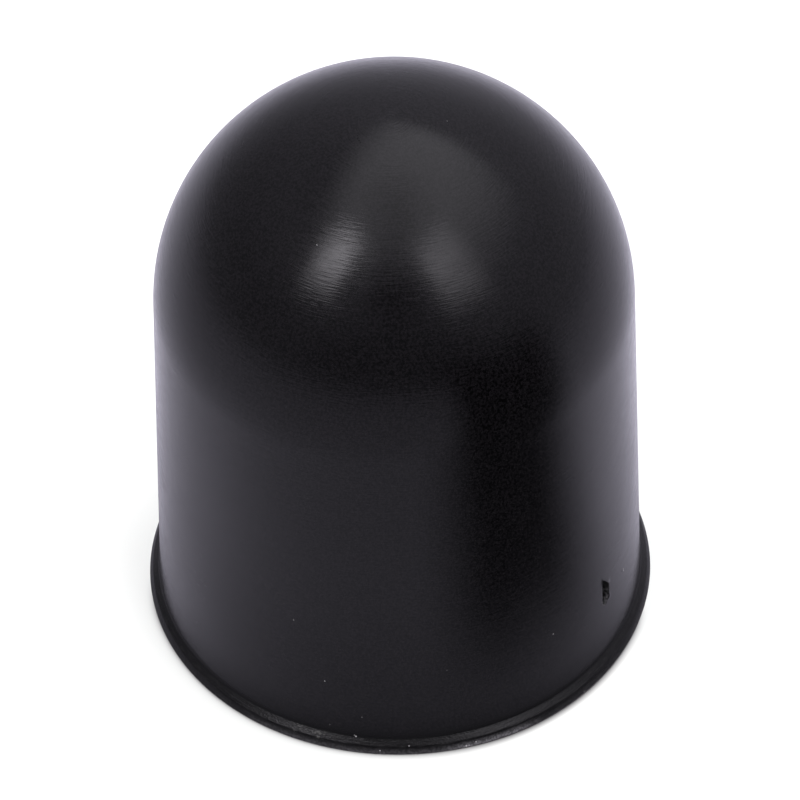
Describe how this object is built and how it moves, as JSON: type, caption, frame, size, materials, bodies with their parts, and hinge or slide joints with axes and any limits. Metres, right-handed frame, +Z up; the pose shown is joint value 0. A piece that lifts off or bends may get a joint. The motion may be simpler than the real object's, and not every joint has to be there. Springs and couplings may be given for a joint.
{
  "type": "tow ball cover",
  "caption": "Black moulded cap with a domed top, a slightly flared skirt, a beaded rim and a small tether slot; it pushes down over a 50 mm tow ball.",
  "frame": {"origin": "centre of the rim, on the plane that the cap stands on", "axes": "+Z up the cap's axis towards the top of the dome, +X through the middle of the tether slot"},
  "size_m": [0.06, 0.06, 0.071],
  "materials": {
    "black_plastic": "semi-matte moulded black, fine turned lines round the axis"
  },
  "bodies": {
    "root": {"ball_cover": "black_plastic"}
  },
  "joints": []
}
